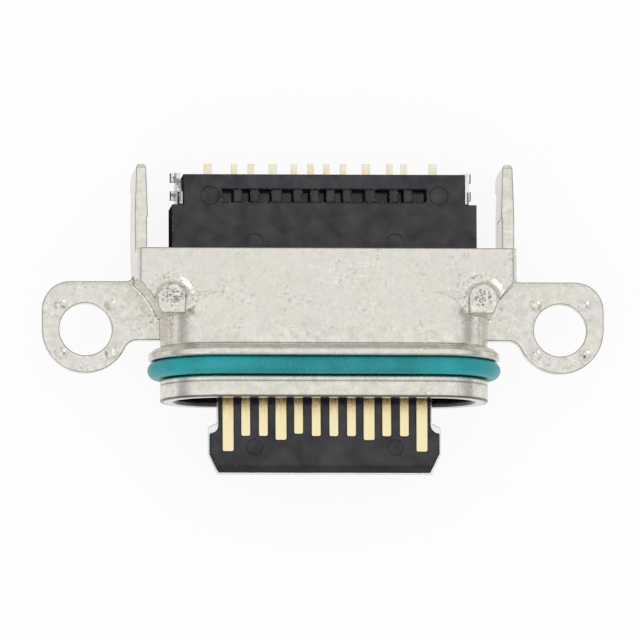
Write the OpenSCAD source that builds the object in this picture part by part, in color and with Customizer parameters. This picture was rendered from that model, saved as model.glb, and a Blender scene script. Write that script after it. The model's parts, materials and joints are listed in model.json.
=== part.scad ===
// Sealed charging port with screw ears: millimetres, X from ear to ear, Y to the rear, Z up.
// The origin is the middle of the mouth, in the plane of the ring's front face.

/* [Mouth and ring] */
// Width of the mouth
mouth_w = 8.46; // [8.3:0.02:8.7]
// Height of the mouth
mouth_h = 2.48; // [2.4:0.02:2.6]
// Wall of the front ring
ring_wall = 0.42; // [0.36:0.02:0.5]
// Length of the front ring, up to the seal groove
ring_len = 0.635; // [0.55:0.005:0.7]
// Distance from the groove to the mould's fine parting line
line_set = 0.175; // [0.1:0.005:0.25]
// Half the width of that line
line_half = 0.015; // [0.01:0.005:0.03]
// Depth of that line
line_depth = 0.02; // [0.01:0.005:0.03]
// Bevel on the ring's front edge
front_edge = 0.02; // [0.01:0.01:0.06]
// Bevel on the edges of the seal groove
ring_edge = 0.05; // [0.02:0.01:0.08]
// Bevel that leads a plug into the mouth
lead_in = 0.06; // [0.02:0.01:0.1]

/* [Seal groove and flange] */
// Diameter of the seal ring's round section
seal_d = 0.50; // [0.44:0.01:0.56]
// Depth of the seal groove
groove_depth = 0.14; // [0.1:0.01:0.2]
// Free width that the groove leaves beside the seal ring
groove_play = 0.01; // [0.01:0.01:0.06]
// Height of the flange above the ring
flange_rise = 0.33; // [0.25:0.01:0.36]
// Length of the flange's rim
flange_land = 0.20; // [0.15:0.01:0.25]
// Length of the slope behind the rim
flange_back = 0.19; // [0.15:0.01:0.26]
// How far the slope bulges
flange_bulge = 0.03; // [0.01:0.01:0.05]

/* [Rear body] */
// Width of the rear body
body_w = 10.76; // [10.5:0.02:10.9]
// Distance from the ring's face to the front of the rear body
body_front = 2.38; // [2.2:0.02:2.5]
// Distance from the ring's face to the rear edge of the body
body_rear = 4.23; // [4.1:0.01:4.4]
// Wall of the rear body
body_wall = 0.34; // [0.28:0.02:0.4]
// Rounding of the body's long edges
body_edge_r = 0.28; // [0.1:0.02:0.32]
// Width of the cut at each front corner
wing_cut_x = 0.67; // [0.5:0.01:0.75]
// Length of the cut at each front corner
wing_cut_y = 0.96; // [0.7:0.02:1.0]
// Radius of the hollow curve of that cut, which clears the screw's head
wing_arc_r = 2.1; // [1.6:0.1:3]
// Distance from the middle to where the slope between neck and body ends at the corners
blend_x = 4.02; // [3.9:0.02:4.1]
// Length of that slope
blend_len = 0.60; // [0.5:0.02:0.7]
// Height that the slope loses
blend_drop = 0.36; // [0.3:0.02:0.4]

/* [Screw ears] */
// Distance between the screw holes
hole_span = 13.48; // [13.2:0.01:13.8]
// Distance from the ring's face to the screw holes
hole_y = 2.10; // [2.0:0.02:2.2]
// Diameter of the screw holes
hole_d = 1.50; // [1.3:0.02:1.6]
// Radius of the ear round its hole
ear_r = 1.235; // [1.15:0.005:1.35]
// Thickness of the ears
ear_t = 0.38; // [0.3:0.02:0.5]
// Height of the ears' upper face
ear_top = -0.25; // [-0.4:0.05:0.1]
// Distance from the hole to the ear's rear edge
ear_back = 1.37; // [1.28:0.01:1.5]
// Distance from the hole to the ear's front edge beside the neck
ear_front = 0.30; // [0.2:0.02:0.4]
// Radius of the outer rear corner
ear_corner_r = 0.82; // [0.6:0.02:0.9]
// Radius of the hollow corner between the round and the front edge
ear_hollow_r = 0.40; // [0.3:0.02:0.5]
// Radius of the hollow corner between the rear edge and the body
ear_fillet_r = 0.20; // [0.1:0.02:0.3]
// Width of the bevel along the ear's rear edge
ear_bevel = 0.11; // [0.05:0.01:0.15]

/* [Rear legs] */
// Thickness of the legs where they leave the body
leg_t = 0.36; // [0.3:0.02:0.4]
// How far each side of the legs draws in towards the end
leg_taper = 0.04; // [0:0.01:0.08]
// Length of the legs behind the body
leg_len = 2.50; // [2.3:0.05:2.7]
// Length of the straight part of the legs
leg_straight = 1.20; // [0.9:0.05:1.5]
// Height of the legs' upper edge
leg_top = 0.55; // [0.3:0.05:0.8]
// How far the legs stay above the body's underside
leg_lift = 0.06; // [0:0.02:0.2]
// Corner cut of legs and pegs
leg_cut = 0.10; // [0.04:0.02:0.12]
// Width of the pegs under the legs
peg_w = 0.42; // [0.3:0.02:0.5]
// Distance from the pegs to the legs' ends
peg_set = 0.15; // [0.12:0.01:0.4]
// How far the pegs reach below the legs
peg_drop = 0.42; // [0.2:0.02:0.5]

/* [Mould marks] */
// Depth of the ejector marks on the plastic
mark_depth = 0.02; // [0.01:0.005:0.04]
// Radius of the dips that the ejectors left on the ears
ear_dip_r = 0.17; // [0.1:0.01:0.2]
// Depth of those dips
ear_dip_depth = 0.045; // [0.01:0.005:0.06]
// How far the walls of those dips draw in
ear_dip_slope = 0.08; // [0.02:0.01:0.09]
// Radius of the sunk rings round the gates on the body's corners
gate_ring_r = 0.68; // [0.6:0.02:0.72]
// Depth of those rings
gate_ring_depth = 0.08; // [0.04:0.01:0.1]
// How far the outer walls of those rings draw in
gate_ring_slope = 0.16; // [0.08:0.01:0.18]
// Radius of the pads inside those rings, which run straight on to the body's front
gate_pad_r = 0.40; // [0.34:0.02:0.44]
// Distance from the body's side to the middle of those rings
gate_in = 0.98; // [0.94:0.02:1.1]
// Distance from the body's front to the middle of those rings
gate_back = 0.42; // [0.4:0.01:0.6]
// Radius of the marks on the plastic
block_mark_r = 0.26; // [0.2:0.01:0.28]
// Distance from the narrow part's side to the middle of its marks
block_mark_in = 0.75; // [0.6:0.05:0.8]

/* [Tongue] */
// Thickness of the tongue
tongue_t = 0.70; // [0.66:0.01:0.74]
// Plastic left beside the outer pads
pad_margin = 0.095; // [0.06:0.005:0.12]
// Depth of the latch notches, which is also the radius of their hollow corner
notch_depth = 0.25; // [0.2:0.01:0.3]
// How far the tongue reaches out of the ring
tongue_out = 2.00; // [1.8:0.02:2.2]
// Distance from the ring's face to the start of the notch's hollow corner
notch_out = 0.66; // [0.6:0.01:0.75]
// Distance from the ring's face to the steel shoulder in the notch
latch_out = 0.60; // [0.5:0.01:0.65]
// How far that shoulder slopes
latch_run = 0.13; // [0.05:0.01:0.2]
// Width lost at each front corner
tip_cut_x = 0.25; // [0.15:0.01:0.3]
// Length of each front corner cut
tip_cut_y = 0.52; // [0.4:0.01:0.6]
// Bevel of the tongue's front edge
tip_bevel = 0.17; // [0.1:0.01:0.2]
// How far the steel plate shows beyond the plastic
plate_proud = 0.05; // [0.02:0.01:0.08]
// Thickness of the steel plate
plate_t = 0.15; // [0.1:0.01:0.18]
// Radius of the plastic plugs through the plate
lock_r = 0.45; // [0.3:0.05:0.5]
// Distance from the plate's middle to the plugs
lock_x = 1.50; // [1.2:0.05:2]

/* [Contacts] */
// Distance between neighbouring contacts
pitch = 0.50; // [0.49:0.005:0.51]
// Thickness of the contact strip
contact_t = 0.12; // [0.08:0.01:0.14]
// How far the pads stand out of the plastic
contact_proud = 0.02; // [0.01:0.01:0.04]
// Width of the ground and supply pads
wide_pad = 0.31; // [0.28:0.01:0.34]
// Width of the signal pads
narrow_pad = 0.25; // [0.22:0.01:0.3]
// Radius of the pads' front corners
pad_corner_r = 0.05; // [0.02:0.01:0.08]
// Reach of the ground pads out of the ring
ground_reach = 1.425; // [1.3:0.005:1.5]
// Reach of the supply pads out of the ring
supply_reach = 1.10; // [1.0:0.01:1.2]
// Reach of the signal pads out of the ring
signal_reach = 0.99; // [0.9:0.01:1.05]
// Reach of the detection pad out of the ring
detect_reach = 0.925; // [0.85:0.005:0.95]
// Inner radius of the strip's bends
bend_r = 0.08; // [0.04:0.01:0.1]
// Distance from the wall behind the root to where the strips turn to their tails
jog_set = 0.20; // [0.1:0.02:0.3]
// Distance from the end of that turn to the strips' bends
jog_rear = 0.60; // [0.5:0.02:0.7]

/* [Solder tails] */
// Width of the ground and supply tails
wide_tail = 0.22; // [0.2:0.01:0.26]
// Width of the signal tails
narrow_tail = 0.17; // [0.14:0.01:0.18]
// How far the rear tails reach out of the housing
tail_out = 0.48; // [0.3:0.02:0.6]
// Plastic behind the rear row's bends
tail_cover = 0.18; // [0.14:0.01:0.2]
// Distance from the window's front to the lower row's bends
lower_bend_set = 0.14; // [0.1:0.01:0.18]
// Length of the lower row's tails behind their bends
lower_tail = 0.41; // [0.3:0.02:0.45]
// Height of the solder plane
solder_z = -1.28; // [-1.34:0.02:-1.2]

/* [Housing] */
// Width of the block behind the shell
block_w = 8.64; // [8.5:0.02:8.7]
// Length of the block behind the shell
block_len = 1.35; // [1.3:0.01:1.5]
// Height of the block's upper face
block_top = 0.52; // [0.48:0.01:0.7]
// Width of the narrow rear part
nose_w = 8.00; // [7.8:0.02:8.1]
// Length of the narrow rear part
nose_len = 0.86; // [0.84:0.01:1]
// Width of the trench across the narrow part
trench_w = 5.80; // [5.65:0.05:5.85]
// Length of the trench
trench_len = 0.37; // [0.3:0.01:0.38]
// Depth of the trench over the contacts
trench_depth = 0.06; // [0.03:0.01:0.08]
// Distance from the wide block to the trench
trench_set = 0.07; // [0.06:0.01:0.12]
// Depth of the slots between the contacts, where pins of the mould held them
slot_depth = 0.50; // [0.4:0.05:0.8]
// Plastic left at each side of a contact between the slots
rib_wall = 0.04; // [0.03:0.01:0.05]
// Distance from the shell to the window under the block
window_set = 0.38; // [0.3:0.02:0.42]
// Depth of the window under the block
window_depth = 0.40; // [0.3:0.02:0.5]
// Wall beside and behind the window
window_wall = 0.10; // [0.08:0.01:0.14]

/* [Inside the mouth] */
// Distance from the ring's face to the tongue's root
root_front = 1.75; // [1.6:0.05:1.9]
// Thickness of the tongue's root
root_t = 1.40; // [1.3:0.02:1.5]
// Distance from the ring's face to the wall behind the root
plug_front = 2.45; // [2.4:0.05:2.6]
// Thickness of the ground plates at the root
angle_t = 0.10; // [0.08:0.01:0.12]
// How far the ground plates stay inside the root's sides
angle_set = 0.30; // [0.1:0.05:0.5]
// Length of the pocket that the potting fills
well_len = 0.78; // [0.6:0.02:0.85]
// How far the potting stays inside the body's rear edge
potting_set = 0.08; // [0.04:0.02:0.14]
// Clearance between plug and shell
fit = 0.02; // [0.01:0.01:0.04]

/* [Ground feet] */
// Length of the arms that carry the ground feet
arm_len = 0.36; // [0.3:0.01:0.38]
// Distance from the wide block to the arms
arm_set = 0.06; // [0.03:0.01:0.08]
// How far the side feet stand out
foot_out = 0.13; // [0.05:0.01:0.16]
// Width of the side feet
foot_w = 0.26; // [0.2:0.01:0.3]
// Height of the arms' rear ends
foot_h = 0.30; // [0.2:0.02:0.4]
// How far the rear feet reach out of the housing
foot_back = 0.20; // [0.1:0.02:0.26]

/* [Hidden] */
$fn = 96;
over = 1;
lap = 0.1;

ring_r = mouth_h / 2 + ring_wall;
spine = (mouth_w - mouth_h) / 2;
floor_r = ring_r - groove_depth;
flange_r = ring_r + flange_rise;
groove_end = ring_len + seal_d + groove_play;
rim_end = groove_end + flange_land;
slope_end = rim_end + flange_back;
line_y = ring_len - line_set;

body_x = body_w / 2;
well_front = body_rear - well_len;
well_w = body_w - 2 * body_wall;
well_h = 2 * (ring_r - body_wall);

hole_x = hole_span / 2;
ear_in = spine + mouth_h / 2 + ring_wall / 4;
ear_line = hole_y - ear_front;
ear_end = hole_y + ear_back;
ear_dip_at = (hole_d / 2 + ear_r) / 2;

leg_end = body_rear + leg_len;
leg_bottom = leg_lift - ring_r;
peg_rear = leg_end - peg_set;
peg_front = peg_rear - peg_w;
peg_bottom = leg_bottom - peg_drop;

count = 12;
waist_x = ((count - 1) * pitch + wide_pad) / 2 + pad_margin;
head_x = waist_x + notch_depth;
tip_y = -tongue_out;
tongue_z = tongue_t / 2;
plate_z = plate_t / 2;
upper_z = tongue_z + contact_proud - contact_t;
lower_z = -tongue_z - contact_proud;

block_rear = body_rear + block_len;
block_bottom = solder_z + contact_t;
block_h = block_top - block_bottom;
nose_rear = block_rear + nose_len;
nose_x = nose_w / 2;
trench_x = trench_w / 2;
trench_y = block_rear + trench_set;
trench_floor = block_top - trench_depth;
window_front = body_rear + window_set;
window_rear = block_rear - window_wall;
window_x = ((count - 1) * pitch + wide_tail) / 2 + 2 * window_wall;
arm_front = block_rear + arm_set;
arm_rear = arm_front + arm_len;
wing_x = nose_x + plate_t;
upper_bend_y = nose_rear - tail_cover - contact_t;
lower_bend_y = window_front + lower_bend_set;
jog_front = plug_front + jog_set;

// Contacts from left to right; the rear tails are spread by these numbers of pitches
numbers = [1:count];
tail_steps = [-6.4, -4.9, -3.95, -2.7, -1.5, -0.55, 0.35, 1.3, 2.6, 3.95, 4.75, 6.4];
upper_detect = 5;
lower_detect = 8;
function pad_x(i) = (i - (count + 1) / 2) * pitch;
function tail_x(i) = tail_steps[i - 1] * pitch;
function is_ground(i) = i == 1 || i == count;
function is_supply(i) = i == 4 || i == 9;
function is_wide(i) = is_ground(i) || is_supply(i);
function pad_w(i) = is_wide(i) ? wide_pad : narrow_pad;
function tail_w(i) = is_wide(i) ? wide_tail : narrow_tail;
function reach(i, detect) = is_ground(i) ? ground_reach
    : is_supply(i) ? supply_reach
    : i == detect ? detect_reach : signal_reach;

steel = [0.78, 0.78, 0.77];
gold = [0.93, 0.8, 0.5];
black = [0.17, 0.17, 0.18];

// Helpers: extrusions along one axis, mirrored outlines, and a profile carried round the oval
module along_y(y0, y1) {
    translate([0, y1, 0]) rotate([90, 0, 0]) linear_extrude(y1 - y0) children();
}

module along_x(x0, x1) {
    translate([x0, 0, 0]) rotate([90, 0, 90]) linear_extrude(x1 - x0) children();
}

module both_sides() {
    children();
    mirror([1, 0, 0]) children();
}

module mirrored_outline(half) {
    polygon(concat(half, [for (k = [len(half) - 1:-1:0]) [-half[k].x, half[k].y]]));
}

module oval(w, h) {
    square([w - h, h], center = true);
    for (s = [-1, 1]) translate([s * (w - h) / 2, 0]) circle(d = h);
}

module rounded(w, h, r) {
    square([w - 2 * r, h], center = true);
    square([w, h - 2 * r], center = true);
    for (x = [-1, 1], z = [-1, 1]) translate([x * (w / 2 - r), z * (h / 2 - r)]) circle(r);
}

// The profile's first coordinate is the distance from the oval's spine, its second one is Y
module round_oval() {
    both_sides() translate([spine, 0, 0]) rotate([-90, 0, 0]) rotate([0, 0, -90])
        rotate_extrude(angle = 180) children();
    along_x(-spine, spine) {
        mirror([1, -1, 0]) children();
        mirror([0, 1, 0]) mirror([1, -1, 0]) children();
    }
}

function arc(c, r, a0, a1, n = 5) =
    [for (k = [0:n]) c + r * [cos(a0 + (a1 - a0) * k / n), sin(a0 + (a1 - a0) * k / n)]];

// Shell: ring, seal groove, flange and neck are one profile round the oval
module ring_profile() {
    polygon([
        [0, 0], [ring_r - front_edge, 0], [ring_r, front_edge],
        [ring_r, line_y - line_half], [ring_r - line_depth, line_y], [ring_r, line_y + line_half],
        [ring_r, ring_len - ring_edge], [ring_r - ring_edge, ring_len],
        [floor_r, ring_len], [floor_r, groove_end],
        [flange_r - ring_edge, groove_end], [flange_r, groove_end + ring_edge],
        [flange_r, rim_end],
        [(flange_r + ring_r) / 2 + flange_bulge, (rim_end + slope_end) / 2 + flange_bulge],
        [ring_r, slope_end], [ring_r, body_front + blend_len + lap], [0, body_front + blend_len + lap]
    ]);
}

module rear_body() {
    cut = [wing_cut_x, wing_cut_y];
    chord = norm(cut);
    reach = sqrt(pow(wing_arc_r, 2) - pow(chord / 2, 2));
    centre = [body_x - wing_cut_x, body_front] + cut / 2 + [cut.y, -cut.x] * reach / chord;
    difference() {
        along_y(body_front, body_rear) rounded(body_w, 2 * ring_r, body_edge_r);
        both_sides() translate([centre.x, centre.y, -ring_r - over])
            cylinder(r = wing_arc_r, h = 2 * ring_r + 2 * over);
        for (under = [0, 1]) mirror([0, 0, under]) along_x(-blend_x, blend_x) polygon([
            [body_front - over, ring_r - blend_drop * (1 + over / blend_len)],
            [body_front + blend_len, ring_r],
            [body_front + blend_len, ring_r + over],
            [body_front - over, ring_r + over]
        ]);
    }
}

module ear_plan() {
    corner_x = hole_x + ear_r - ear_corner_r;
    hollow_y = ear_line - ear_hollow_r;
    hollow_x = hole_x - sqrt(pow(ear_r + ear_hollow_r, 2) - pow(hole_y - hollow_y, 2));
    hole = [hole_x, hole_y];
    hollow = [hollow_x, hollow_y];
    touch = hollow + (hole - hollow) * ear_hollow_r / (ear_r + ear_hollow_r);
    translate(hole) circle(ear_r);
    translate([ear_in, ear_line]) square([hole_x - ear_in, ear_end - ear_line]);
    translate([ear_in, hole_y]) square([corner_x - ear_in, ear_back]);
    translate(hole) square([ear_r, ear_back - ear_corner_r]);
    translate([corner_x, ear_end - ear_corner_r]) circle(ear_corner_r);
    difference() {
        polygon([[hollow_x, ear_line], touch, hole]);
        translate(hollow) circle(ear_hollow_r);
    }
    difference() {
        translate([body_x - lap, ear_end - lap]) square(ear_fillet_r + lap);
        translate([body_x + ear_fillet_r, ear_end + ear_fillet_r]) circle(ear_fillet_r);
    }
}

// Shallow dip with sloping walls in a face at Z = 0
module dip(r, depth, slope) {
    translate([0, 0, -depth]) cylinder(r1 = r - slope, r2 = r + slope, h = 2 * depth);
}

module ear() {
    difference() {
        translate([0, 0, ear_top - ear_t]) linear_extrude(ear_t) ear_plan();
        translate([hole_x, hole_y, ear_top - ear_t - over]) cylinder(d = hole_d, h = ear_t + 2 * over);
        for (a = [45:90:315])
            translate([hole_x + ear_dip_at * cos(a), hole_y + ear_dip_at * sin(a), ear_top])
                dip(ear_dip_r, ear_dip_depth, ear_dip_slope);
        translate([0, ear_end, ear_top]) along_x(ear_in, hole_x + ear_r)
            polygon([
                [-ear_bevel, 0], [0, -ear_bevel / 2], [over, -ear_bevel / 2], [over, over], [-ear_bevel, over]
            ]);
    }
}

module leg() {
    root = body_rear - lap;
    inner = body_x - leg_t;
    straight_end = body_rear + leg_straight;
    end_in = inner + leg_taper;
    end_out = body_x - leg_taper;
    intersection() {
        translate([0, 0, peg_bottom - over]) linear_extrude(leg_top - peg_bottom + 2 * over) polygon([
            [inner, root], [body_x, root], [body_x, straight_end], [end_out, leg_end - leg_cut],
            [end_out - leg_cut / 2, leg_end], [end_in + leg_cut / 2, leg_end], [end_in, leg_end - leg_cut],
            [inner, straight_end]
        ]);
        along_x(0, body_x) polygon([
            [root, leg_top], [leg_end - leg_cut, leg_top], [leg_end, leg_top - leg_cut],
            [leg_end, leg_bottom + leg_cut], [leg_end - leg_cut, leg_bottom], [peg_rear, leg_bottom],
            [peg_rear, peg_bottom + leg_cut], [peg_rear - leg_cut, peg_bottom],
            [peg_front + leg_cut, peg_bottom], [peg_front, peg_bottom + leg_cut],
            [peg_front, leg_bottom], [root, leg_bottom]
        ]);
    }
}

module gate_ring() {
    foot = gate_pad_r + gate_ring_depth;
    head = gate_pad_r - gate_ring_depth;
    translate([body_x - gate_in, body_front + gate_back, ring_r]) difference() {
        dip(gate_ring_r, gate_ring_depth, gate_ring_slope);
        translate([0, 0, -gate_ring_depth]) cylinder(r1 = foot, r2 = head, h = 2 * gate_ring_depth);
        along_y(-over, 0) polygon([
            [-foot, -gate_ring_depth], [foot, -gate_ring_depth],
            [head, gate_ring_depth], [-head, gate_ring_depth]
        ]);
    }
}

module shell() {
    color([0.86, 0.85, 0.82]) difference() {
        union() {
            round_oval() ring_profile();
            rear_body();
            both_sides() {
                ear();
                leg();
            }
        }
        along_y(-over, well_front + lap) oval(mouth_w, mouth_h);
        round_oval() polygon([
            [0, -over], [mouth_h / 2 + lead_in + over, -over], [mouth_h / 2, lead_in], [0, lead_in]
        ]);
        along_y(well_front, body_rear + over) rounded(well_w, well_h, body_edge_r);
        both_sides() gate_ring();
    }
}

// Seals
module seal_ring() {
    color([0.18, 0.55, 0.57]) round_oval()
        translate([floor_r + seal_d / 2, groove_end - seal_d / 2]) circle(d = seal_d);
}

module potting() {
    color([0.1, 0.1, 0.11]) along_y(well_front, body_rear - potting_set) difference() {
        rounded(well_w, well_h, body_edge_r);
        translate([-block_w / 2, block_bottom]) square([block_w, block_h]);
    }
}

// Steel plates
module tongue_plan(grow, rear, notch) {
    mirrored_outline(concat(
        [[head_x + grow - tip_cut_x, tip_y - grow], [head_x + grow, tip_y + tip_cut_y]],
        notch,
        [[waist_x + grow, rear]]
    ));
}

// The plate passes round the slots: from the wide block an arm goes out to each side, bends down beside
// the narrow part and ends in two solder feet
module ground_wing() {
    along_y(arm_front, arm_rear) polygon(concat(
        [[nose_x - lap, plate_z], [nose_x - lap, -plate_z], [nose_x, -plate_z]],
        [[nose_x, solder_z], [wing_x, solder_z]],
        arc([nose_x, -plate_z], plate_t, 0, 90)
    ));
    along_x(nose_x, wing_x) polygon([
        [arm_rear - lap, -plate_t], [nose_rear - lap, -plate_t], [nose_rear - lap, solder_z + foot_h],
        [nose_rear + foot_back, solder_z + foot_h], [nose_rear + foot_back, solder_z],
        [arm_rear - lap, solder_z]
    ]);
    for (y = [arm_rear - foot_w / 2, nose_rear + foot_back - foot_w])
        translate([nose_x, y, solder_z]) cube([plate_t + foot_out, foot_w, plate_t]);
}

module mid_plate() {
    latch = [[head_x + plate_proud, -latch_out - latch_run], [waist_x + plate_proud, -latch_out]];
    color(steel) difference() {
        union() {
            translate([0, 0, -plate_z]) linear_extrude(plate_t) {
                tongue_plan(plate_proud, root_front, latch);
                translate([lap - waist_x, root_front - lap])
                    square([2 * (waist_x - lap), block_rear - root_front]);
                difference() {
                    translate([-nose_x, block_rear - arm_len])
                        square([nose_w, arm_rear - block_rear + arm_len]);
                    translate([-trench_x - lap, block_rear]) square([trench_w + 2 * lap, over]);
                }
            }
            both_sides() ground_wing();
        }
        for (x = [-lock_x, lock_x]) translate([x, well_front, -over]) cylinder(r = lock_r, h = 2 * over);
    }
}

module ground_plate() {
    foot_y = root_front + angle_t / 2;
    crest = mouth_h / 2 - angle_t;
    along_x(angle_set - waist_x, waist_x - angle_set) polygon([
        [foot_y, root_t / 2], [plug_front, root_t / 2], [plug_front, crest], [plug_front - angle_t, crest],
        [plug_front - angle_t, root_t / 2 + angle_t], [foot_y, root_t / 2 + angle_t]
    ]);
}

module upper_ground_plate() {
    color(steel) ground_plate();
}

module lower_ground_plate() {
    color(steel) mirror([0, 0, 1]) ground_plate();
}

// Contacts: a flat strip in plan that jogs to its tail, then bends down to the solder plane
module strip(x, w, tip, end_x, end_w, z, bend_y, end_y) {
    jog_end = bend_y - jog_rear;
    flat_end = bend_y - bend_r;
    left = end_x - end_w / 2;
    right = end_x + end_w / 2;
    round_x = w / 2 - pad_corner_r;
    round_y = tip + pad_corner_r;
    translate([0, 0, z]) linear_extrude(contact_t) polygon(concat(
        arc([x - round_x, round_y], pad_corner_r, 180, 270, 3),
        arc([x + round_x, round_y], pad_corner_r, 270, 360, 3),
        [[x + w / 2, jog_front], [right, jog_end], [right, flat_end]],
        [[left, flat_end], [left, jog_end], [x - w / 2, jog_front]]
    ));
    high = [flat_end, z - bend_r];
    low = [bend_y + contact_t + bend_r, solder_z + contact_t + bend_r];
    along_x(left, right) polygon(concat(
        [[flat_end - lap, z + contact_t], [flat_end - lap, z]],
        arc(high, bend_r, 90, 0),
        arc(low, bend_r + contact_t, 180, 270),
        [[end_y, solder_z], [end_y, solder_z + contact_t]],
        arc(low, bend_r, 270, 180),
        arc(high, bend_r + contact_t, 0, 90)
    ));
}

module upper_strip(i) {
    strip(pad_x(i), pad_w(i), -reach(i, upper_detect), tail_x(i), tail_w(i), upper_z, upper_bend_y,
        nose_rear + tail_out);
}

module lower_strip(i) {
    strip(pad_x(i), pad_w(i), -reach(i, lower_detect), pad_x(i), tail_w(i), lower_z, lower_bend_y,
        lower_bend_y + contact_t + bend_r + lower_tail);
}

module upper_contact(i) {
    color(gold) upper_strip(i);
}

module lower_contact(i) {
    color(gold) lower_strip(i);
}

// Plastic: one form, split at the plate's middle, with the strips and the plate moulded in
module insulator_form() {
    hollow = arc([head_x, -notch_out], notch_depth, 270, 180);
    intersection() {
        translate([0, 0, -tongue_z]) linear_extrude(tongue_t) tongue_plan(0, plug_front + lap, hollow);
        along_x(-head_x - over, head_x + over) polygon([
            [tip_y, tip_bevel - tongue_z], [tip_y + tip_bevel, -tongue_z], [plug_front + lap, -tongue_z],
            [plug_front + lap, tongue_z], [tip_y + tip_bevel, tongue_z], [tip_y, tongue_z - tip_bevel]
        ]);
    }
    translate([-waist_x, root_front, -root_t / 2]) cube([2 * waist_x, plug_front - root_front + lap, root_t]);
    along_y(plug_front, well_front) oval(mouth_w - 2 * fit, mouth_h - 2 * fit);
    translate([-block_w / 2, well_front, block_bottom]) cube([block_w, block_rear - well_front, block_h]);
    translate([-nose_x, block_rear - lap, block_bottom]) cube([nose_w, nose_len + lap, block_h]);
}

module half_form(up) {
    size = 2 * (body_w + nose_rear);
    intersection() {
        insulator_form();
        translate([-size / 2, -size / 2, up ? 0 : -size]) cube(size);
    }
}

module trench() {
    translate([-trench_x, trench_y, trench_floor]) cube([trench_w, trench_len, over]);
    for (i = [1:count - 1]) {
        first = max(-trench_x, tail_x(i) + tail_w(i) / 2 + rib_wall);
        last = min(trench_x, tail_x(i + 1) - tail_w(i + 1) / 2 - rib_wall);
        translate([first, trench_y, trench_floor - slot_depth])
            cube([last - first, trench_len, slot_depth + over]);
    }
}

module plastic_marks() {
    both_sides() {
        translate([nose_x - block_mark_in, trench_y + trench_len / 2, block_top - mark_depth])
            cylinder(r = block_mark_r, h = over);
        translate([4 * pitch, body_rear + block_mark_r, block_top - mark_depth])
            cylinder(r = block_mark_r, h = over);
        translate([4 * pitch, tip_y + tip_cut_y + tip_bevel, tongue_z - mark_depth])
            cylinder(r = block_mark_r - 2 * mark_depth, h = over);
    }
}

module upper_insulator() {
    color(black) difference() {
        half_form(true);
        mid_plate();
        trench();
        plastic_marks();
        for (i = numbers) upper_strip(i);
    }
}

module lower_insulator() {
    color(black) difference() {
        half_form(false);
        mid_plate();
        trench();
        translate([-window_x, window_front, block_bottom - over])
            cube([2 * window_x, window_rear - window_front, window_depth + over]);
        for (i = numbers) {
            upper_strip(i);
            lower_strip(i);
        }
    }
}

shell();
seal_ring();
potting();
upper_insulator();
lower_insulator();
mid_plate();
upper_ground_plate();
lower_ground_plate();
for (i = numbers) upper_contact(i);
for (i = numbers) lower_contact(i);
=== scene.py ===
# %% [markdown]
# A sealed charging port, seen almost straight from above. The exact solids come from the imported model, and
# this lesson gives them what a solid lacks: broken edges, finishes, the scars that moulding leaves on the
# metal, and the soft white light of a product photograph. The port is only 16 mm wide, so every size below
# is written in millimetres and turned to metres by one constant.

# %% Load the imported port
import json
import math

import bmesh
import bpy
from mathutils import Matrix, Vector, noise


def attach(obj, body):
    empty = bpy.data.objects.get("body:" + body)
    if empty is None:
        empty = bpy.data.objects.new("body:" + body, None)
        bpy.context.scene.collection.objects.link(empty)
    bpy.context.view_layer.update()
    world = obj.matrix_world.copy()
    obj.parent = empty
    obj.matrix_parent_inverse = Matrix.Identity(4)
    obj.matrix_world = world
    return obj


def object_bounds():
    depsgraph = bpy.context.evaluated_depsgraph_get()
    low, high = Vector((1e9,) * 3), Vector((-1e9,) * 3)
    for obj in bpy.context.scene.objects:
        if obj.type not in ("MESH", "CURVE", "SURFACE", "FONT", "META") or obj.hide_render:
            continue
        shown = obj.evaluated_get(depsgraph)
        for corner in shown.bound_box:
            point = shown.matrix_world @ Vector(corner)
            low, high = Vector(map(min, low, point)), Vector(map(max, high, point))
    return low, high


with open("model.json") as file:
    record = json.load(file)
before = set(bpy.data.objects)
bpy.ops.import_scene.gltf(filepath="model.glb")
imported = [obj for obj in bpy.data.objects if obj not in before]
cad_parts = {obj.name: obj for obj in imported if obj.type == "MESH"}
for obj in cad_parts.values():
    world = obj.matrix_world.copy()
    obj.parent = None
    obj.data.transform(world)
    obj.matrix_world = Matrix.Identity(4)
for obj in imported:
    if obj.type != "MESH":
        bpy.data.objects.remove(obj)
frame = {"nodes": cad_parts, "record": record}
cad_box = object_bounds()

MM = 0.001
nodes = frame["nodes"]
print("solids:", len(nodes), "size in mm:", [round(s / MM, 2) for s in cad_box[1] - cad_box[0]])

# %% [markdown]
# The photograph is taken with a long lens from above, tipped about six degrees towards the mouth and four
# towards the left ear, so a little of the front and left walls shows. A camera could be aimed with a Track
# To constraint, but here its axes are known from the photograph, so the matrix is written directly: right,
# up and back.

# %% Camera at the photograph's angle
PHOTO_WIDTH = 640
PIXELS_PER_MM = 35.3
SENSOR_WIDTH = 36
TURN = -0.25
RIGHTWARD = Vector((1, 0, 0.07))
REARWARD = Vector((0, 0.9945, 0.1045))
frame_width = PHOTO_WIDTH / PIXELS_PER_MM * MM
distance = 700 * MM
target = Vector((-0.105, 2.35, 0)) * MM

turn = Matrix.Rotation(math.radians(TURN), 3, "Z")
right = turn @ RIGHTWARD.normalized()
back = right.cross(turn @ REARWARD).normalized()
up = back.cross(right)

lens = bpy.data.cameras.new("long_lens")
lens.sensor_width = SENSOR_WIDTH
lens.lens = SENSOR_WIDTH * distance / frame_width
lens.clip_start = 0.01
camera = bpy.data.objects.new("camera", lens)
aim = Matrix((right, up, back)).transposed().to_4x4()
camera.matrix_world = Matrix.Translation(target + back * distance) @ aim
bpy.context.scene.collection.objects.link(camera)
bpy.context.scene.camera = camera
print("focal length", round(lens.lens), "mm for a frame of", round(frame_width / MM, 2), "mm")

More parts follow.
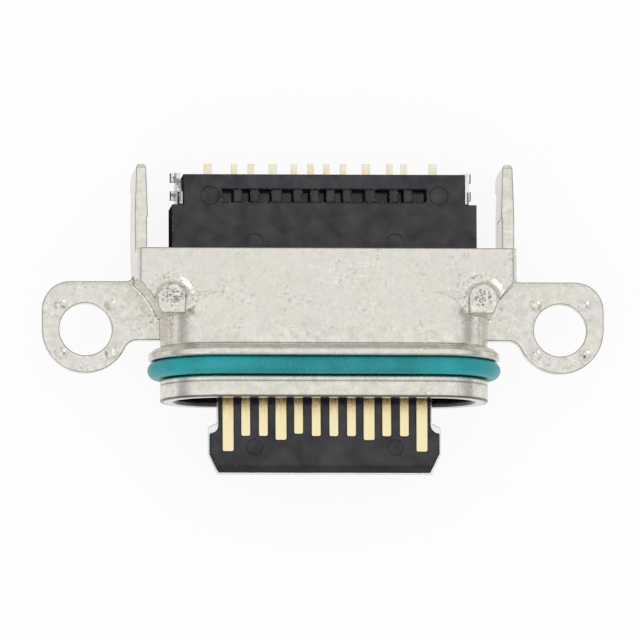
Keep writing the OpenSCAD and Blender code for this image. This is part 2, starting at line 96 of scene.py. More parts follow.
# %% [markdown]
# Materials are built from nodes. A few helpers are enough: one turns an sRGB hex colour into the linear
# values that Blender works in, one adds a node with its settings and links, and one starts an empty
# material. Object coordinates are metres here, so a grain of g millimetres takes the scale 1 / (g * MM).

# %% Colour and node helpers
def linear(code):
    parts = [int(code[k:k + 2], 16) / 255 for k in (1, 3, 5)]
    return [p / 12.92 if p <= 0.04045 else ((p + 0.055) / 1.055) ** 2.4 for p in parts] + [1]


def add(tree, kind, settings, links=()):
    node = tree.nodes.new(kind)
    for key, value in settings.items():
        if isinstance(key, str) and hasattr(node, key):
            setattr(node, key, value)
        else:
            node.inputs[key].default_value = value
    for key, socket in dict(links).items():
        tree.links.new(socket, node.inputs[key])
    return node


def grain(size_mm):
    return 1 / (size_mm * MM)


def new_material(name):
    material = bpy.data.materials.new(name)
    material.use_nodes = True
    material.node_tree.nodes.clear()
    tree = material.node_tree
    place = add(tree, "ShaderNodeTexCoord", {}).outputs["Object"]
    return material, tree, place


print("a 0.1 mm grain has the scale", grain(0.1))

# %% [markdown]
# The shell is metal injection moulded: steel powder in wax is moulded, sintered and tumbled. To the eye
# that is a pale metal with a satin gloss, greenish ivory in some places and pinkish grey in others, smooth
# over most of its faces and finely pitted in patches. Two noises of about 1 mm lay out the tints and the
# patches, and a grain of 0.09 mm makes the pits: only its deepest and highest spots show, as dark and light
# specks.

# %% Sintered stainless steel: tint and pits
TINT = 1.1
PATCH = 0.8
PIT = 0.09
sintered, tree, place = new_material("sintered_stainless_steel_tumbled")
hues = add(tree, "ShaderNodeTexNoise", {"Scale": grain(TINT), "Detail": 4, "Roughness": 0.65},
           {"Vector": place})
hue = add(tree, "ShaderNodeMapRange", {"From Min": 0.35, "From Max": 0.65}, {"Value": hues.outputs["Fac"]})
ivory = add(tree, "ShaderNodeMix", {"data_type": "RGBA", 6: linear("#DDDBCD"), 7: linear("#DFDAD6")},
            {"Factor": hue.outputs["Result"]})
patches = add(tree, "ShaderNodeTexNoise", {"Scale": grain(PATCH), "Detail": 3, "Distortion": 0.4},
              {"Vector": place})
pitted_here = add(tree, "ShaderNodeMapRange",
                  {"From Min": 0.48, "From Max": 0.64, "To Min": 0.25, "To Max": 0.9},
                  {"Value": patches.outputs["Fac"]})
pits = add(tree, "ShaderNodeTexNoise", {"Scale": grain(PIT), "Detail": 2}, {"Vector": place})
dark = add(tree, "ShaderNodeMapRange", {"From Min": 0.56, "From Max": 0.74, "To Max": 0.36},
           {"Value": pits.outputs["Fac"]})
light = add(tree, "ShaderNodeMapRange", {"From Min": 0.44, "From Max": 0.26, "To Max": 0.2},
            {"Value": pits.outputs["Fac"]})
fleck = add(tree, "ShaderNodeMath", {"operation": "SUBTRACT"},
            {0: light.outputs["Result"], 1: dark.outputs["Result"]})
print("pits of", PIT, "mm in patches of", PATCH, "mm")

# %% [markdown]
# Ejector pins pushed the soft part out of the mould at the ears, four round each hole, and tore the skin
# there. The gates on the wings, where the metal came in, are torn as well. Folding the coordinates about
# the middle and about the hole lays all eight dips on one, and both gates on one, so one distance finds
# each kind.

# %% Sintered stainless steel: distance to the dips and the gates
HOLE = Vector((6.74, 2.10))
DIP_AT = 0.70
GATE = Vector((4.38, 2.83))
axes = add(tree, "ShaderNodeSeparateXYZ", {}, {"Vector": place})
aside = add(tree, "ShaderNodeMath", {"operation": "ABSOLUTE"}, {0: axes.outputs["X"]})
hole_x = add(tree, "ShaderNodeMath", {"operation": "SUBTRACT", 1: HOLE.x * MM}, {0: aside.outputs["Value"]})
hole_y = add(tree, "ShaderNodeMath", {"operation": "SUBTRACT", 1: HOLE.y * MM}, {0: axes.outputs["Y"]})
from_hole = add(tree, "ShaderNodeCombineXYZ", {},
                {"X": hole_x.outputs["Value"], "Y": hole_y.outputs["Value"]})
folded = add(tree, "ShaderNodeVectorMath", {"operation": "ABSOLUTE"}, {0: from_hole.outputs["Vector"]})
from_dip = add(tree, "ShaderNodeVectorMath", {"operation": "DISTANCE", 1: (DIP_AT * MM, DIP_AT * MM, 0)},
               {0: folded.outputs["Vector"]})
one_side = add(tree, "ShaderNodeCombineXYZ", {}, {"X": aside.outputs["Value"], "Y": axes.outputs["Y"]})
from_gate = add(tree, "ShaderNodeVectorMath", {"operation": "DISTANCE", 1: (GATE.x * MM, GATE.y * MM, 0)},
                {0: one_side.outputs["Vector"]})
print("dips", DIP_AT, "mm aside and", DIP_AT, "mm before and behind each hole")

# %% [markdown]
# Where the skin is torn, the pits are deeper and their specks stronger. A Map Range node turns each
# distance into a strength that fades out at the rim of the dip or the gate, and the stronger of the two is
# added to the patches.

# %% Sintered stainless steel: torn skin
DIP_RIM = 0.22
GATE_RIM = 0.86
torn = add(tree, "ShaderNodeMapRange", {"From Min": DIP_RIM * MM, "From Max": 0.1 * MM, "To Max": 2.0},
           {"Value": from_dip.outputs["Value"]})
scarred = add(tree, "ShaderNodeMapRange", {"From Min": GATE_RIM * MM, "From Max": 0.6 * MM, "To Max": 1.2},
              {"Value": from_gate.outputs["Value"]})
worst = add(tree, "ShaderNodeMath", {"operation": "MAXIMUM"},
            {0: torn.outputs["Result"], 1: scarred.outputs["Result"]})
rough = add(tree, "ShaderNodeMath", {"operation": "ADD"},
            {0: pitted_here.outputs["Result"], 1: worst.outputs["Value"]})
speckle = add(tree, "ShaderNodeMath", {"operation": "MULTIPLY_ADD", 2: 1.0},
              {0: fleck.outputs["Value"], 1: rough.outputs["Value"]})
speckled = add(tree, "ShaderNodeVectorMath", {"operation": "SCALE"},
               {"Vector": ivory.outputs[2], "Scale": speckle.outputs["Value"]})
print("torn skin at eight dips and two gates")

# %% [markdown]
# The flat top is the cleanest face, because it was polished for the pick-up nozzle of the machine that
# places the port. Everywhere else handling and flux have left blotches of about 0.25 mm, a little darker or
# lighter than the rest.

# %% Sintered stainless steel: blotches
BLOTCH = 0.25
TOP_FRONT = 2.0
TOP_HEIGHT = 1.55
blotches = add(tree, "ShaderNodeTexNoise", {"Scale": grain(BLOTCH), "Detail": 3, "Roughness": 0.6},
               {"Vector": place})
rearward = add(tree, "ShaderNodeMapRange", {"From Min": TOP_FRONT * MM, "From Max": (TOP_FRONT + 0.2) * MM},
               {"Value": axes.outputs["Y"]})
high = add(tree, "ShaderNodeMapRange", {"From Min": TOP_HEIGHT * MM, "From Max": (TOP_HEIGHT + 0.05) * MM},
           {"Value": axes.outputs["Z"]})
on_top = add(tree, "ShaderNodeMath", {"operation": "MULTIPLY"},
             {0: rearward.outputs["Result"], 1: high.outputs["Result"]})
stained = add(tree, "ShaderNodeMapRange", {"To Min": 0.6, "To Max": 0.2},
              {"Value": on_top.outputs["Value"]})
centred = add(tree, "ShaderNodeMath", {"operation": "SUBTRACT", 1: 0.5}, {0: blotches.outputs["Fac"]})
blotch = add(tree, "ShaderNodeMath", {"operation": "MULTIPLY_ADD", 2: 1.0},
             {0: centred.outputs["Value"], 1: stained.outputs["Result"]})
blotched = add(tree, "ShaderNodeVectorMath", {"operation": "SCALE"},
               {"Vector": speckled.outputs["Vector"], "Scale": blotch.outputs["Value"]})
print("blotches of", BLOTCH, "mm beside the top")

# %% [markdown]
# Tumbling rounds every edge a little. The edges could be bevelled in the mesh, but beside dips only 0.05 mm
# deep a bevel has no room. The Bevel shader node turns the normals near each edge instead, and where a
# second, finer one turns them far from the face's own normal, an edge or a crease is near. There the colour
# is darkened, so edges and creases are drawn as fine dark lines of painted shade.

# %% Sintered stainless steel: edges and creases
EDGE = 0.1
CREASE = 0.06
BEVEL_SAMPLES = 8
edges = add(tree, "ShaderNodeBevel", {"samples": BEVEL_SAMPLES, "Radius": EDGE * MM})
rim = add(tree, "ShaderNodeBevel", {"samples": BEVEL_SAMPLES, "Radius": CREASE * MM})
face = add(tree, "ShaderNodeNewGeometry", {})
turned = add(tree, "ShaderNodeVectorMath", {"operation": "DOT_PRODUCT"},
             {0: rim.outputs["Normal"], 1: face.outputs["Normal"]})
# painted shade: the colour is darker along every edge and crease
edge_shade = add(tree, "ShaderNodeMapRange",
            {"From Min": 0.94, "From Max": 0.998, "To Min": 0.52, "To Max": 1.0},
            {"Value": turned.outputs["Value"]})
edge_shaded = add(tree, "ShaderNodeVectorMath", {"operation": "SCALE"},
            {"Vector": blotched.outputs["Vector"], "Scale": edge_shade.outputs["Result"]})
print("edges are rounded over", EDGE, "mm")

# %% [markdown]
# The bore and its lead-in are given a dark grey-brown, so the mouth looks nearly black. The bore is where
# the distance to the oval's middle line is less than half the mouth's height, so the same oval that shapes
# the mouth is worked out from the Object coordinates.

# %% Sintered stainless steel: the darker bore
MOUTH_R = 1.24
MOUTH_SPINE = 2.99
LEAD_IN = 0.06
bore_end = MOUTH_R + LEAD_IN
beyond = add(tree, "ShaderNodeMath", {"operation": "SUBTRACT", 1: MOUTH_SPINE * MM},
             {0: aside.outputs["Value"]})
past = add(tree, "ShaderNodeMath", {"operation": "MAXIMUM", 1: 0.0}, {0: beyond.outputs["Value"]})
across = add(tree, "ShaderNodeCombineXYZ", {}, {"X": past.outputs["Value"], "Z": axes.outputs["Z"]})
radius = add(tree, "ShaderNodeVectorMath", {"operation": "LENGTH"}, {"Vector": across.outputs["Vector"]})
outside = add(tree, "ShaderNodeMapRange", {"From Min": bore_end * MM, "From Max": (bore_end + 0.03) * MM},
              {"Value": radius.outputs["Value"]})
# the bore and its lead-in are darkened to a dull grey-brown
finish = add(tree, "ShaderNodeMix", {"data_type": "RGBA", 6: linear("#56525A")},
             {"Factor": outside.outputs["Result"], 7: edge_shaded.outputs["Vector"]})
print("the bore ends", round(bore_end, 2), "mm from the oval's middle line")

# %% [markdown]
# A thin dark line of painted shade runs round the mouth along the ring's front edge. It lies where the same
# distance is close to the ring's outside, within 0.07 mm of the front face.

# %% Sintered stainless steel: the ring's front edge
RING_R = 1.66
FRONT_EDGE = 0.06
outmost = add(tree, "ShaderNodeMapRange",
              {"From Min": (RING_R - 2 * FRONT_EDGE) * MM, "From Max": (RING_R - FRONT_EDGE) * MM},
              {"Value": radius.outputs["Value"]})
foremost = add(tree, "ShaderNodeMapRange",
               {"From Min": 1.2 * FRONT_EDGE * MM, "From Max": 0.8 * FRONT_EDGE * MM, "To Max": 0.75},
               {"Value": axes.outputs["Y"]})
# painted shade: a thin dark line along the ring's front edge
front_edge_shade = add(tree, "ShaderNodeMath", {"operation": "MULTIPLY"},
              {0: outmost.outputs["Result"], 1: foremost.outputs["Result"]})
front_edge_shaded = add(tree, "ShaderNodeMix", {"data_type": "RGBA", 7: linear("#35322E")},
             {"Factor": front_edge_shade.outputs["Value"], 6: finish.outputs[2]})
print("the dark line is", FRONT_EDGE, "mm wide")

# %% [markdown]
# The pits are also felt as relief. They are far too shallow to model, so a Bump node tips the normals as if
# they were up to 0.012 mm deep, on top of the rounded edges, and the same grain makes the gloss a little
# uneven.

# %% Sintered stainless steel: gloss and relief
PIT_DEPTH = 0.012
depth = add(tree, "ShaderNodeMath", {"operation": "MULTIPLY"},
            {0: pits.outputs["Fac"], 1: rough.outputs["Value"]})
relief = add(tree, "ShaderNodeBump", {"Strength": 0.22, "Distance": PIT_DEPTH * MM, "invert": True},
             {"Height": depth.outputs["Value"], "Normal": edges.outputs["Normal"]})
satin = add(tree, "ShaderNodeMapRange", {"From Min": 0.3, "From Max": 0.7, "To Min": 0.18, "To Max": 0.3},
            {"Value": pits.outputs["Fac"]})
surface = add(tree, "ShaderNodeBsdfPrincipled", {"Metallic": 1.0},
              {"Base Color": front_edge_shaded.outputs[2], "Roughness": satin.outputs["Result"],
               "Normal": relief.outputs["Normal"]})
add(tree, "ShaderNodeOutputMaterial", {}, {"Surface": surface.outputs["BSDF"]})
print("made", sintered.name)

# %% [markdown]
# The seal is moulded from teal silicone in a polished tool. Rubber scatters light under its skin and has a
# soft gloss, and it holds dust: pale specks of about 0.06 mm that a close look shows.

# %% Silicone rubber
BLUSH = 1.6
DUST = 0.06
silicone, tree, place = new_material("silicone_rubber_moulded")
blush = add(tree, "ShaderNodeTexNoise", {"Scale": grain(BLUSH), "Detail": 2}, {"Vector": place})
dust = add(tree, "ShaderNodeTexNoise", {"Scale": grain(DUST), "Detail": 2}, {"Vector": place})
uneven = add(tree, "ShaderNodeMapRange", {"From Min": 0.35, "From Max": 0.65},
             {"Value": blush.outputs["Fac"]})
teal = add(tree, "ShaderNodeMix", {"data_type": "RGBA", 6: linear("#00868D"), 7: linear("#18A2A8")},
           {"Factor": uneven.outputs["Result"]})
speck = add(tree, "ShaderNodeMapRange", {"From Min": 0.62, "From Max": 0.76, "To Min": 0.0, "To Max": 0.35},
            {"Value": dust.outputs["Fac"]})
dusty = add(tree, "ShaderNodeMix", {"data_type": "RGBA", 7: linear("#9CCBCB")},
            {"Factor": speck.outputs["Result"], 6: teal.outputs[2]})
rub = add(tree, "ShaderNodeBump", {"Strength": 0.15, "Distance": 0.006 * MM},
          {"Height": dust.outputs["Fac"]})
surface = add(tree, "ShaderNodeBsdfPrincipled",
              {"Roughness": 0.36, "Specular IOR Level": 0.42, "Subsurface Weight": 0.15,
               "Subsurface Scale": 0.1 * MM},
              {"Base Color": dusty.outputs[2], "Normal": rub.outputs["Normal"]})
add(tree, "ShaderNodeOutputMaterial", {}, {"Surface": surface.outputs["BSDF"]})
print("made", silicone.name)

# %% [markdown]
# The housing is black liquid crystal polymer with glass fibres. The resin itself is almost black, and much
# of what the eye sees as dark grey is the sky in its satin skin. The mould's top and bottom were polished,
# but its walls were spark eroded, so the side walls are matt and dark. The upright part of the face's
# normal tells the two apart. Fibres leave faint streaks along the flow, and handling leaves smears about
# 0.5 mm wide.

# %% Liquid crystal polymer: resin and skin
FIBRE = 0.06
SMEAR = 0.5
polymer, tree, place = new_material("liquid_crystal_polymer_moulded")
flow = add(tree, "ShaderNodeMapping", {"Scale": (1.0, 0.25, 1.0)}, {"Vector": place})
fibres = add(tree, "ShaderNodeTexNoise", {"Scale": grain(FIBRE), "Detail": 3},
             {"Vector": flow.outputs["Vector"]})
smears = add(tree, "ShaderNodeTexNoise", {"Scale": grain(SMEAR), "Detail": 4}, {"Vector": place})
resin = add(tree, "ShaderNodeMix", {"data_type": "RGBA", 6: linear("#1A1A20"), 7: linear("#2A292F")},
            {"Factor": smears.outputs["Fac"]})
skin = add(tree, "ShaderNodeMapRange", {"From Min": 0.3, "From Max": 0.7, "To Min": 0.1, "To Max": 0.17},
           {"Value": fibres.outputs["Fac"]})
face = add(tree, "ShaderNodeNewGeometry", {})
tilt = add(tree, "ShaderNodeSeparateXYZ", {}, {"Vector": face.outputs["Normal"]})
upright = add(tree, "ShaderNodeMath", {"operation": "ABSOLUTE"}, {0: tilt.outputs["Z"]})
polished = add(tree, "ShaderNodeMapRange", {"From Min": 0.2, "From Max": 0.6},
               {"Value": upright.outputs["Value"]})
matt = add(tree, "ShaderNodeMix", {"data_type": "RGBA", 6: linear("#2B2C34")},
           {"Factor": polished.outputs["Result"], 7: resin.outputs[2]})
gloss = add(tree, "ShaderNodeMapRange", {"From Min": 0.3, "From Max": 0.7, "To Min": 0.34, "To Max": 0.66},
            {"Value": smears.outputs["Fac"]})
smeared = add(tree, "ShaderNodeMath", {"operation": "MULTIPLY"},
              {0: polished.outputs["Result"], 1: gloss.outputs["Result"]})
print("smears of", SMEAR, "mm on the polished faces")

# %% [markdown]
# Plugs have rubbed the tongue, so along its edges and round its contacts the skin is dull and black. So it
# is round the slots in the trench, where the mould's pins stood. The same test as on the steel finds the
# edges, and the distance along Y tells the tongue, the block and the trench apart.

# %% Liquid crystal polymer: dull edges
TRENCH_Y = 5.86
TRENCH_HALF = 0.3
RUBBED_EDGE = 0.09
rim = add(tree, "ShaderNodeBevel", {"samples": BEVEL_SAMPLES, "Radius": RUBBED_EDGE * MM})
turned = add(tree, "ShaderNodeVectorMath", {"operation": "DOT_PRODUCT"},
             {0: rim.outputs["Normal"], 1: face.outputs["Normal"]})
plain = add(tree, "ShaderNodeMapRange", {"From Min": 0.9, "From Max": 0.999, "To Min": 0.1},
            {"Value": turned.outputs["Value"]})
axes = add(tree, "ShaderNodeSeparateXYZ", {}, {"Vector": place})
behind = add(tree, "ShaderNodeMapRange", {"From Min": 0.0, "From Max": 0.2 * MM, "To Min": 0.45},
             {"Value": axes.outputs["Y"]})
in_trench = add(tree, "ShaderNodeMath", {"operation": "COMPARE", 1: TRENCH_Y * MM, 2: TRENCH_HALF * MM},
                {0: axes.outputs["Y"]})
spared = add(tree, "ShaderNodeMath", {"operation": "SUBTRACT"},
             {0: behind.outputs["Result"], 1: in_trench.outputs["Value"]})
unrubbed = add(tree, "ShaderNodeMath", {"operation": "MAXIMUM"},
               {0: plain.outputs["Result"], 1: spared.outputs["Value"]})
sheen = add(tree, "ShaderNodeMath", {"operation": "MULTIPLY"},
            {0: smeared.outputs["Value"], 1: unrubbed.outputs["Value"]})
print("the trench is", 2 * TRENCH_HALF, "mm long")

# %% [markdown]
# On all edges of the plastic there are pale nicks where a thread of flash broke off. A fine noise picks
# where, and the streaks of the fibres make a faint relief.

# %% Liquid crystal polymer: nicks and relief
NICK = 0.06
FINE_EDGE = 0.03
near = add(tree, "ShaderNodeMapRange", {"From Min": 0.94, "From Max": 0.8, "To Max": 0.6},
           {"Value": turned.outputs["Value"]})
flash = add(tree, "ShaderNodeTexNoise", {"Scale": grain(NICK), "Detail": 1}, {"Vector": place})
nicked = add(tree, "ShaderNodeMapRange", {"From Min": 0.6, "From Max": 0.7},
             {"Value": flash.outputs["Fac"]})
nick = add(tree, "ShaderNodeMath", {"operation": "MULTIPLY"},
           {0: near.outputs["Result"], 1: nicked.outputs["Result"]})
chipped = add(tree, "ShaderNodeMix", {"data_type": "RGBA", 7: linear("#A2A2A6")},
              {"Factor": nick.outputs["Value"], 6: matt.outputs[2]})
edges = add(tree, "ShaderNodeBevel", {"samples": BEVEL_SAMPLES, "Radius": FINE_EDGE * MM})
streak = add(tree, "ShaderNodeBump", {"Strength": 0.2, "Distance": 0.004 * MM},
             {"Height": fibres.outputs["Fac"], "Normal": edges.outputs["Normal"]})
surface = add(tree, "ShaderNodeBsdfPrincipled", {},
              {"Base Color": chipped.outputs[2], "Roughness": skin.outputs["Result"],
               "Specular IOR Level": sheen.outputs["Value"], "Normal": streak.outputs["Normal"]})
add(tree, "ShaderNodeOutputMaterial", {}, {"Surface": surface.outputs["BSDF"]})
print("made", polymer.name)

# %% [markdown]
# The potting is poured epoxy: it levels itself, so it is a glossy black pool with a faint wave where it
# crept up the walls.

# %% Epoxy resin
WAVE = 0.8
epoxy, tree, place = new_material("epoxy_resin_poured")
wave = add(tree, "ShaderNodeTexNoise", {"Scale": grain(WAVE), "Detail": 1}, {"Vector": place})
creep = add(tree, "ShaderNodeBump", {"Strength": 0.3, "Distance": 0.05 * MM},
            {"Height": wave.outputs["Fac"]})
haze = add(tree, "ShaderNodeMapRange", {"To Min": 0.08, "To Max": 0.2}, {"Value": wave.outputs["Fac"]})
surface = add(tree, "ShaderNodeBsdfPrincipled", {"Base Color": linear("#0C0C0E")},
              {"Roughness": haze.outputs["Result"], "Normal": creep.outputs["Normal"]})
add(tree, "ShaderNodeOutputMaterial", {}, {"Surface": surface.outputs["BSDF"]})
print("made", epoxy.name)

# %% [markdown]
# The plate in the tongue is stamped from bright rolled steel. Rolling draws fine lines along the strip,
# here across the port, and the shear leaves greyer walls. As on the plastic, the upright part of the normal
# tells the rolled faces from the walls.

# %% Rolled sheet steel: faces and walls
ROLLED_LINE = 0.03
sheet, tree, place = new_material("sheet_steel_rolled")
drawn = add(tree, "ShaderNodeMapping", {"Scale": (0.05, 1.0, 1.0)}, {"Vector": place})
lines = add(tree, "ShaderNodeTexNoise", {"Scale": grain(ROLLED_LINE), "Detail": 2},
            {"Vector": drawn.outputs["Vector"]})
shine = add(tree, "ShaderNodeMapRange", {"From Min": 0.3, "From Max": 0.7, "To Min": 0.14, "To Max": 0.26},
            {"Value": lines.outputs["Fac"]})
face = add(tree, "ShaderNodeNewGeometry", {})
tilt = add(tree, "ShaderNodeSeparateXYZ", {}, {"Vector": face.outputs["Normal"]})
upright = add(tree, "ShaderNodeMath", {"operation": "ABSOLUTE"}, {0: tilt.outputs["Z"]})
rolled_face = add(tree, "ShaderNodeMapRange", {"From Min": 0.3, "From Max": 0.6},
                  {"Value": upright.outputs["Value"]})
sheared = add(tree, "ShaderNodeMix", {"data_type": "RGBA", 6: linear("#C4C8D0"), 7: linear("#EEEEEE")},
              {"Factor": rolled_face.outputs["Result"]})
print("rolled lines of", ROLLED_LINE, "mm run across the port")

# %% [markdown]
# The plate's feet stick out at the rear. Their outer ends are darkened, and the two left ones are
# darkened in noisy patches.

# %% Rolled sheet steel: darker left feet and darker ends
FOOT_END = 4.24
DARKER_FROM = 3.98
LEFT_GRAIN = 0.12
axes = add(tree, "ShaderNodeSeparateXYZ", {}, {"Vector": place})
left_noise = add(tree, "ShaderNodeTexNoise", {"Scale": grain(LEFT_GRAIN), "Detail": 2}, {"Vector": place})
patchy = add(tree, "ShaderNodeMapRange", {"From Min": 0.4, "From Max": 0.55},
              {"Value": left_noise.outputs["Fac"]})
leftmost = add(tree, "ShaderNodeMapRange",
               {"From Min": -DARKER_FROM * MM, "From Max": -(DARKER_FROM + 0.08) * MM},
               {"Value": axes.outputs["X"]})
# the two left feet are darker in noisy patches
left_darker = add(tree, "ShaderNodeMath", {"operation": "MULTIPLY"},
            {0: patchy.outputs["Result"], 1: leftmost.outputs["Result"]})
left_darkened = add(tree, "ShaderNodeMix", {"data_type": "RGBA", 7: linear("#8F8F88")},
             {"Factor": left_darker.outputs["Value"], 6: sheared.outputs[2]})
aside = add(tree, "ShaderNodeMath", {"operation": "ABSOLUTE"}, {0: axes.outputs["X"]})
# the outer ends of the feet are darker
torn = add(tree, "ShaderNodeMapRange", {"From Min": FOOT_END * MM, "From Max": (FOOT_END + 0.02) * MM},
           {"Value": aside.outputs["Value"]})
bright = add(tree, "ShaderNodeMix", {"data_type": "RGBA", 7: linear("#2A2724")},
             {"Factor": torn.outputs["Result"], 6: left_darkened.outputs[2]})
edges = add(tree, "ShaderNodeBevel", {"samples": BEVEL_SAMPLES, "Radius": FINE_EDGE * MM})
rolled = add(tree, "ShaderNodeBump", {"Strength": 0.1, "Distance": 0.002 * MM},
             {"Height": lines.outputs["Fac"], "Normal": edges.outputs["Normal"]})
surface = add(tree, "ShaderNodeBsdfPrincipled", {"Metallic": 1.0},
              {"Base Color": bright.outputs[2], "Roughness": shine.outputs["Result"],
               "Normal": rolled.outputs["Normal"]})
add(tree, "ShaderNodeOutputMaterial", {}, {"Surface": surface.outputs["BSDF"]})
print("made", sheet.name)

# %% [markdown]
# The contacts are copper alloy with a thin satin layer of gold. Near the root of the tongue the layer is
# thinner and stained brown in spots of about 0.09 mm, and the same brown also stands in for the shade
# that the ring's front edge casts there: partly real stain, partly painted shade. Where along Y this holds
# is read from the Object coordinates.

# %% Gold plating: stained and shaded roots
STAIN = 0.09
STAINED_FROM = -0.4
STAINED_TO = 0.7
gold, tree, place = new_material("gold_plating_satin")
axes = add(tree, "ShaderNodeSeparateXYZ", {}, {"Vector": place})
stain = add(tree, "ShaderNodeTexNoise", {"Scale": grain(STAIN), "Detail": 2}, {"Vector": place})
blotch = add(tree, "ShaderNodeMapRange",
             {"From Min": 0.35, "From Max": 0.65, "To Min": 0.15, "To Max": 0.85},
             {"Value": stain.outputs["Fac"]})
rootward = add(tree, "ShaderNodeMapRange",
               {"From Min": STAINED_FROM * MM, "From Max": (STAINED_FROM + 0.5) * MM},
               {"Value": axes.outputs["Y"]})
deeper = add(tree, "ShaderNodeMapRange",
             {"From Min": STAINED_TO * MM, "From Max": (STAINED_TO - 0.4) * MM},
             {"Value": axes.outputs["Y"]})
at_root = add(tree, "ShaderNodeMath", {"operation": "MINIMUM"},
              {0: rootward.outputs["Result"], 1: deeper.outputs["Result"]})
# brown at the roots: real stain and painted shade under the ring's edge
stain_and_shade = add(tree, "ShaderNodeMath", {"operation": "MULTIPLY"},
              {0: at_root.outputs["Value"], 1: blotch.outputs["Result"]})
pad_tint = add(tree, "ShaderNodeMix", {"data_type": "RGBA", 6: linear("#F8EABC"), 7: linear("#E0A044")},
               {"Factor": stain_and_shade.outputs["Value"]})
print("stains of", STAIN, "mm at the roots")

# %% [markdown]
# The tails at the rear are paler, because they are tinned over for soldering, and the tin lies unevenly.
# Plugs have wiped the contacts along their length, which leaves fine lines in the gloss and the relief.

# %% Gold plating: tinned tails and wiped gloss
TAILS_FROM = 5.6
TIN = 0.4
WIPE = 0.05
tailward = add(tree, "ShaderNodeMapRange",
               {"From Min": TAILS_FROM * MM, "From Max": (TAILS_FROM + 0.6) * MM},
               {"Value": axes.outputs["Y"]})
dip = add(tree, "ShaderNodeTexNoise", {"Scale": grain(TIN), "Detail": 1}, {"Vector": place})
uneven = add(tree, "ShaderNodeMapRange", {"From Min": 0.35, "From Max": 0.65},
             {"Value": dip.outputs["Fac"]})
tail_tint = add(tree, "ShaderNodeMix", {"data_type": "RGBA", 6: linear("#F0F0D6"), 7: linear("#F5E3C2")},
                {"Factor": uneven.outputs["Result"]})
tint = add(tree, "ShaderNodeMix", {"data_type": "RGBA"},
           {"Factor": tailward.outputs["Result"], 6: pad_tint.outputs[2], 7: tail_tint.outputs[2]})
wiped = add(tree, "ShaderNodeMapping", {"Scale": (1.0, 0.08, 1.0)}, {"Vector": place})
wipes = add(tree, "ShaderNodeTexNoise", {"Scale": grain(WIPE), "Detail": 2},
            {"Vector": wiped.outputs["Vector"]})
polish = add(tree, "ShaderNodeMapRange", {"From Min": 0.3, "From Max": 0.7, "To Min": 0.2, "To Max": 0.34},
             {"Value": wipes.outputs["Fac"]})
edges = add(tree, "ShaderNodeBevel", {"samples": BEVEL_SAMPLES, "Radius": FINE_EDGE * MM})
rubbed = add(tree, "ShaderNodeBump", {"Strength": 0.15, "Distance": 0.003 * MM},
             {"Height": wipes.outputs["Fac"], "Normal": edges.outputs["Normal"]})
surface = add(tree, "ShaderNodeBsdfPrincipled", {"Metallic": 1.0},
              {"Base Color": tint.outputs[2], "Roughness": polish.outputs["Result"],
               "Normal": rubbed.outputs["Normal"]})
add(tree, "ShaderNodeOutputMaterial", {}, {"Surface": surface.outputs["BSDF"]})
print("made", gold.name)

# %% [markdown]
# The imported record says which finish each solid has, so the materials are handed out by its slot names.

# %% Hand out the finishes
finishes = {
    "sintered_steel": sintered,
    "silicone": silicone,
    "epoxy": epoxy,
    "black_polymer": polymer,
    "sheet_steel": sheet,
    "gold_plating": gold,
}
slots = {part["node"]: part["material_slot"] for part in frame["record"]["subparts"]}
for name, obj in nodes.items():
    obj.data.materials.clear()
    obj.data.materials.append(finishes[slots[name]])
print("finishes given to", len(nodes), "solids")

# %% [markdown]
# The metal entered the mould through one gate on each wing. The gate was broken off, and a round of torn
# metal is left in the middle of the pad. Tumbling doesn't smooth a fracture, so it has a finish of its own:
# no rounded edges, and grains of 0.07 mm from soot grey to bright.

# %% Broken sintered steel
BROKEN_GRAIN = 0.07
broken, tree, place = new_material("sintered_stainless_steel_broken")
grains = add(tree, "ShaderNodeTexNoise", {"Scale": grain(BROKEN_GRAIN), "Detail": 2}, {"Vector": place})
sooty = add(tree, "ShaderNodeMapRange", {"From Min": 0.36, "From Max": 0.6},
            {"Value": grains.outputs["Fac"]})
mottle = add(tree, "ShaderNodeMix", {"data_type": "RGBA", 6: linear("#8A867D"), 7: linear("#EAE7E0")},
             {"Factor": sooty.outputs["Result"]})
surface = add(tree, "ShaderNodeBsdfPrincipled", {"Metallic": 1.0, "Roughness": 0.25},
              {"Base Color": mottle.outputs[2]})
add(tree, "ShaderNodeOutputMaterial", {}, {"Surface": surface.outputs["BSDF"]})
print("made", broken.name)

# %% [markdown]
# The scar itself is a flat disc, cut into rings by repeated insets. A noise lifts and sinks its inner
# corners, so that small facets catch the light in all directions. The outermost corners stay down on the
# pad, and each gate reads the noise at another place.

